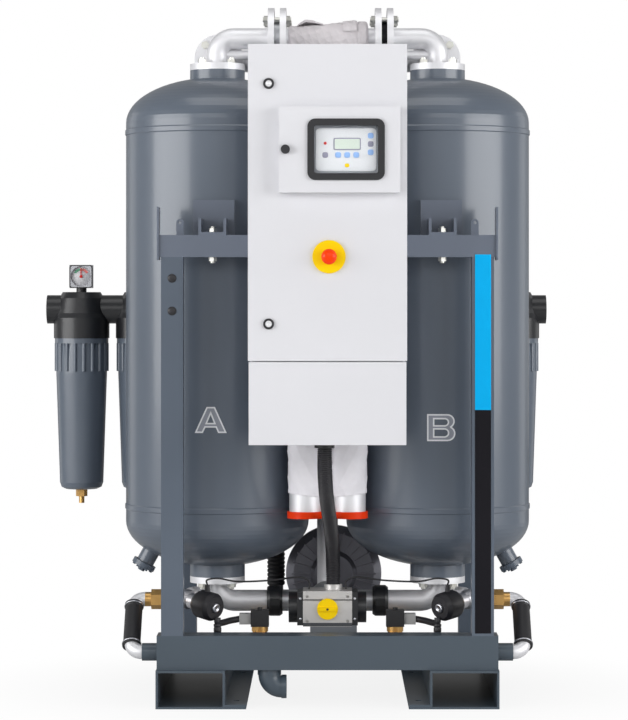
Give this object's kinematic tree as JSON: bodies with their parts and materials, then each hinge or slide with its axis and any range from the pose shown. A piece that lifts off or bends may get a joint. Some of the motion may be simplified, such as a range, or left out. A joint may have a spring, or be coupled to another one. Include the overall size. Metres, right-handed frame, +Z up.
{
  "type": "desiccant air dryer",
  "caption": "Twin-tower heated desiccant dryer for compressed air on a skid with fork pockets, with control cabinet, blower, heaters, filters and switching valves.",
  "frame": {"origin": "centre of the four anchor holes at floor level", "axes": "+Z up, -Y towards the cabinet and its door, tower A at -X"},
  "size_m": [1.473, 1.107, 1.9435],
  "materials": {
    "slate_paint": "satin",
    "steel": "brushed",
    "desiccant": "matte",
    "jacket_cloth": "woven",
    "wrap_cloth": "woven",
    "red_silicone": "matte",
    "cast_aluminium": "cast",
    "black_rubber": "matte",
    "black_paint": "satin",
    "black_plastic": "matte",
    "yellow_plastic": "gloss",
    "red_plastic": "gloss",
    "brass": "turned",
    "filter_media": "matte",
    "grey_plastic": "matte",
    "cabinet_paint": "fine texture",
    "zinc_plate": "zinc",
    "clear_acrylic": "polished"
  },
  "bodies": {
    "skid": {"fork_tubes": "slate_paint", "manifold_beam": "slate_paint", "rear_cross_beam": "slate_paint", "posts": "slate_paint", "top_beams": "slate_paint", "vessel_a": "slate_paint", "vessel_b": "slate_paint", "desiccant_beds": "desiccant", "bed_screens": "steel", "drain_port_covers": "steel", "vessel_brackets": "slate_paint", "top_spools": "steel", "check_valves": "steel", "hot_air_manifold": "steel", "manifold_wrap": "wrap_cloth", "outlet_header": "steel", "flange_bolts": "steel", "heater_columns": "steel", "heater_jackets": "jacket_cloth", "heater_end_seals": "red_silicone", "heater_elements": "steel", "heater_feed_pipe": "steel", "blower_housing": "cast_aluminium", "blower_motor": "cast_aluminium", "blower_hose": "black_rubber", "lower_spools": "steel", "pipe_couplings": "black_paint", "valve_body": "steel", "inlet_pipe": "steel", "brass_valve_bodies": "brass", "solenoid_coils": "black_plastic", "actuator_body": "cast_aluminium", "actuator_end_caps": "black_plastic", "angle_valve_actuators": "black_plastic", "exhaust_elbows": "steel", "exhaust_hoses": "black_rubber", "filter_heads": "black_paint", "filter_bowls": "cast_aluminium", "filter_elements": "filter_media", "filter_drains": "black_plastic", "dp_gauge": "grey_plastic", "cabinet_shell": "cabinet_paint", "cable_cover": "cabinet_paint", "mounting_plate": "zinc_plate", "control_gear": "black_plastic", "control_cables": "black_rubber"},
    "door": {"cabinet_door": "cabinet_paint", "controller": "black_plastic", "estop_collar": "yellow_plastic"},
    "window": {"window_door": "cabinet_paint", "window_pane": "clear_acrylic", "window_gasket": "black_rubber"},
    "upper_lock": {"upper_door_lock": "black_plastic"},
    "lower_lock": {"lower_door_lock": "black_plastic"},
    "window_latch": {"window_lock": "black_plastic"},
    "estop": {"estop_button": "red_plastic"},
    "valve_rotor": {"valve_stem": "steel", "position_indicator": "yellow_plastic"},
    "impeller": {"blower_impeller": "cast_aluminium"},
    "needle": {"gauge_needle": "red_plastic"}
  },
  "joints": [
    {"name": "door_hinge", "type": "hinge", "parent": "skid", "child": "door", "pos_m": [0.207, -0.546, 1.3675], "axis": [0, 0, 1], "range_deg": [0, 110]},
    {"name": "window_hinge", "type": "hinge", "parent": "door", "child": "window", "pos_m": [0.185, -0.576, 1.5075], "axis": [0, 0, 1], "range_deg": [0, 90]},
    {"name": "upper_lock_turn", "type": "hinge", "parent": "door", "child": "upper_lock", "pos_m": [-0.156, -0.568, 1.684], "axis": [0, 1, 0], "range_deg": [0, 90]},
    {"name": "lower_lock_turn", "type": "hinge", "parent": "door", "child": "lower_lock", "pos_m": [-0.156, -0.568, 1.047], "axis": [0, 1, 0], "range_deg": [0, 90]},
    {"name": "window_latch_turn", "type": "hinge", "parent": "window", "child": "window_latch", "pos_m": [-0.111, -0.608, 1.5075], "axis": [0, 1, 0], "range_deg": [0, 90]},
    {"name": "estop_press", "type": "slide", "parent": "door", "child": "estop", "axis": [0, 1, 0], "range_m": [0, 0.006], "stiffness_N_per_m": 400},
    {"name": "valve_turn", "type": "hinge", "parent": "skid", "child": "valve_rotor", "pos_m": [0, -0.2, 0.256], "axis": [0, 1, 0], "range_deg": [0, 90]},
    {"name": "impeller_spin", "type": "hinge", "parent": "skid", "child": "impeller", "pos_m": [0.018, 0.19, 0.317], "axis": [0, 1, 0], "continuous": true},
    {"name": "needle_turn", "type": "hinge", "parent": "skid", "child": "needle", "pos_m": [-0.727, 0.28, 1.182], "axis": [0, 1, 0], "range_deg": [-60, 60], "stiffness_Nm_per_rad": 0.005}
  ]
}
